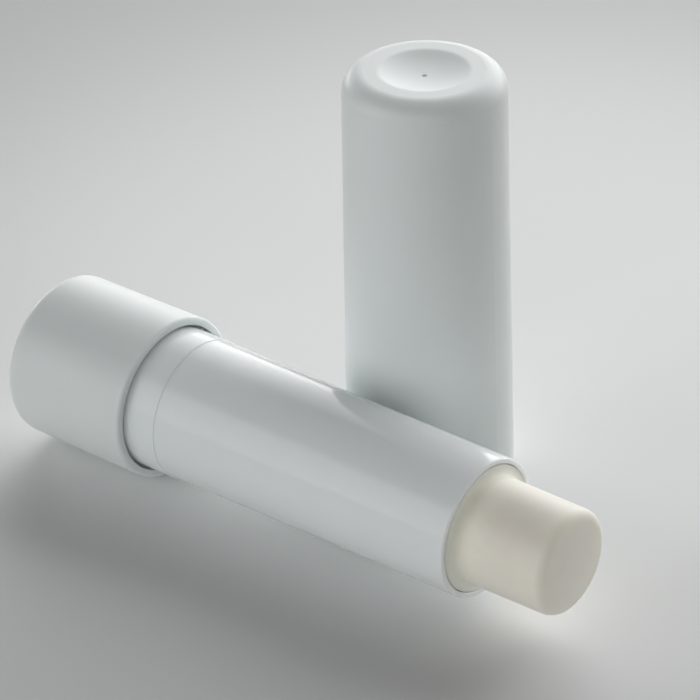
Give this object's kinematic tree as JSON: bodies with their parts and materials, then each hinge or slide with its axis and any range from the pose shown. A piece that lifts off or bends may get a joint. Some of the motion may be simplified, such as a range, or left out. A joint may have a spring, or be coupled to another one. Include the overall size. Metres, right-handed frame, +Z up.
{
  "type": "lip balm stick",
  "caption": "Round twist-up lip balm stick lying on its side, wound up to show its stepped balm, with its pull-off cap standing beside it.",
  "frame": {"origin": "centre of the assembly's outline on the surface that the stick lies on and the cap stands on", "axes": "+X along the stick from the base's closed end to the balm's tip, +Y from the stick to the standing cap, +Z up"},
  "size_m": [0.0724, 0.0378, 0.0493],
  "materials": {
    "cap_plastic": "satin moulded white polypropylene",
    "base_plastic": "satin moulded white polypropylene",
    "barrel_plastic": "glossy moulded white polypropylene",
    "screw_plastic": "natural moulded acetal",
    "carrier_plastic": "moulded white polypropylene",
    "balm_wax": null
  },
  "bodies": {
    "barrel": {"barrel": "barrel_plastic"},
    "base": {"base": "base_plastic", "drive_screw": "screw_plastic"},
    "balm": {"carrier": "carrier_plastic", "balm": "balm_wax"},
    "cap": {"cap": "cap_plastic"}
  },
  "joints": [
    {"name": "base_turn", "type": "hinge", "parent": "barrel", "child": "base", "pos_m": [-0.01918, -0.00936, 0.0095], "axis": [1, 0, 0], "range_deg": [-900, 1612]},
    {"name": "balm_rise", "type": "slide", "parent": "barrel", "child": "balm", "axis": [1, 0, 0], "range_m": [-0.0125, 0.0224]},
    {"name": "cap_lift", "type": "slide", "parent": "barrel", "child": "cap", "axis": [0, 0, 1], "range_m": [0, 0.06]}
  ],
  "couplings": [
    {"joint": "balm_rise", "follows": "base_turn", "m_per_rad": 0.00079577}
  ]
}
